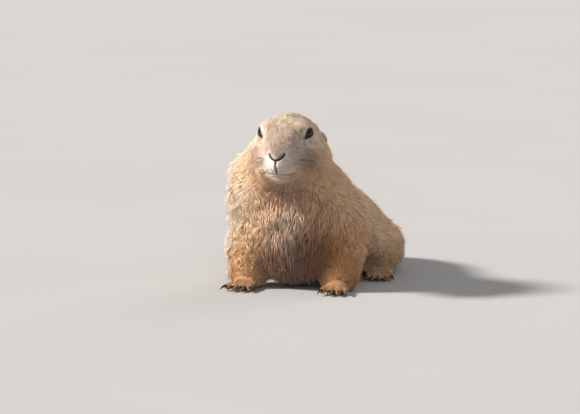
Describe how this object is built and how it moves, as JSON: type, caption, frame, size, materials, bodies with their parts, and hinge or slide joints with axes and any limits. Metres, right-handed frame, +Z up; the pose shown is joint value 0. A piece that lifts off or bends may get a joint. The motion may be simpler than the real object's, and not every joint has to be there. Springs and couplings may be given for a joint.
{
  "type": "prairie dog",
  "caption": "Life-size still model of a prairie dog resting on its haunches, both forefeet on the ground, head raised and looking ahead.",
  "frame": {"origin": "bottom centre of the bounding box, on the ground", "axes": "+Z up, -Y the way the animal faces, +X to its left"},
  "size_m": [0.1302, 0.3168, 0.1445],
  "materials": {
    "head_fur": "short dense fur",
    "nose_skin": "bare damp skin",
    "ear_fur": "thin short fur",
    "eye": "wet gloss",
    "neck_fur": "dense fur",
    "chest_fur": "long soft fur",
    "back_fur": "dense fur",
    "leg_fur": "dense fur",
    "paw": "short fur with bare claws",
    "thigh_fur": "dense fur",
    "foot": "short fur with bare claws",
    "tail_fur": "long coarse locks, dark at the tip"
  },
  "bodies": {
    "root": {"head": "head_fur", "nose": "nose_skin", "ear_left": "ear_fur", "ear_right": "ear_fur", "eye_left": "eye", "eye_right": "eye", "neck": "neck_fur", "chest": "chest_fur", "hips": "back_fur", "foreleg_left": "leg_fur", "foreleg_right": "leg_fur", "forepaw_left": "paw", "forepaw_right": "paw", "thigh_left": "thigh_fur", "thigh_right": "thigh_fur", "hind_foot_left": "foot", "hind_foot_right": "foot", "tail": "tail_fur"}
  },
  "joints": []
}
